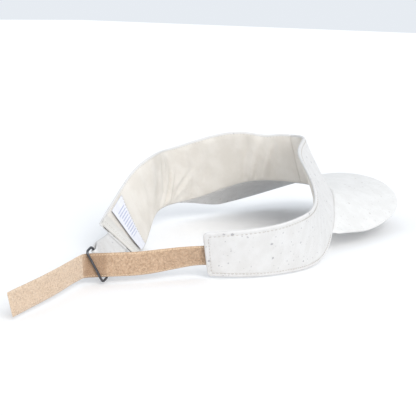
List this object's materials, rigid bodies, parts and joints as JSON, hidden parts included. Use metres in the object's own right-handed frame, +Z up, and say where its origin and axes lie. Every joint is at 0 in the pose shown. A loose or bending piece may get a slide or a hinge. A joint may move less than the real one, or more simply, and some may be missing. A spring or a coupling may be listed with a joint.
{
  "type": "sun visor",
  "caption": "Open-crown sun visor with an arched brim, a lined cork band and a hook-and-loop strap that runs through a wire ring behind the head.",
  "frame": {"origin": "centre of the whole visor's bounding box, on the table it rests on", "axes": "+Z up from the table; -Y towards the brim's front; +X towards the wearer's left"},
  "size_m": [0.197, 0.4682, 0.084],
  "materials": {
    "cork": "matte off-white cork fabric with fine grey and brown flecks",
    "interfacing": "matte white non-woven",
    "lining": "matte warm beige woven cotton, slightly gathered",
    "thread": "matte off-white sewing thread",
    "board": "matte stiffener sheet",
    "loop_tape": "matte tan loop pile with woven edges",
    "hook_tape": "light tan hook pile",
    "ring_metal": "dark grey satin wire",
    "label": "white satin ribbon with plain pale bars"
  },
  "bodies": {
    "crown": {"band_cork": "cork", "band_interfacing": "interfacing", "band_lining": "lining", "band_topstitch": "thread", "brim_top_cork": "cork", "brim_board": "board", "brim_under_cork": "cork"},
    "left_wing": {"left_wing_cork": "cork", "left_wing_interfacing": "interfacing", "left_wing_lining": "lining", "left_wing_topstitch": "thread", "ring_tab": "cork", "label_stitch": "thread"},
    "ring": {"wire_ring": "ring_metal"},
    "label": {"care_label": "label"},
    "strap": {"strap_loop_tape": "loop_tape"},
    "strap_tip": {"strap_hook_tape": "hook_tape", "strap_join_stitch": "thread"}
  },
  "joints": [
    {"name": "left_wing_flex", "type": "hinge", "parent": "crown", "child": "left_wing", "pos_m": [0.08003, -0.05982, 0.04], "axis": [0, 0, 1], "range_deg": [0, 5]},
    {"name": "strap_swing", "type": "hinge", "parent": "crown", "child": "strap", "pos_m": [-0.04716, 0.06688, 0.01732], "axis": [0, 0, 1], "range_deg": [0, 7.45]},
    {"name": "strap_fold", "type": "hinge", "parent": "strap", "child": "strap_tip", "pos_m": [0.00218, 0.13956, 0.0134], "axis": [0, 0, 1], "range_deg": [-55, 110]},
    {"name": "ring_swing", "type": "hinge", "parent": "left_wing", "child": "ring", "pos_m": [-0.00068, 0.12404, 0.01515], "axis": [0.2764, 0.3699, 0.887], "range_deg": [-6, 20]},
    {"name": "label_flap", "type": "hinge", "parent": "left_wing", "child": "label", "pos_m": [0.06064, 0.02082, 0.02208], "axis": [0.5149, 0.083, 0.8532], "range_deg": [0, 95]}
  ],
  "couplings": [
    {"joint": "strap_swing", "follows": "left_wing_flex", "ratio": 1.48}
  ]
}
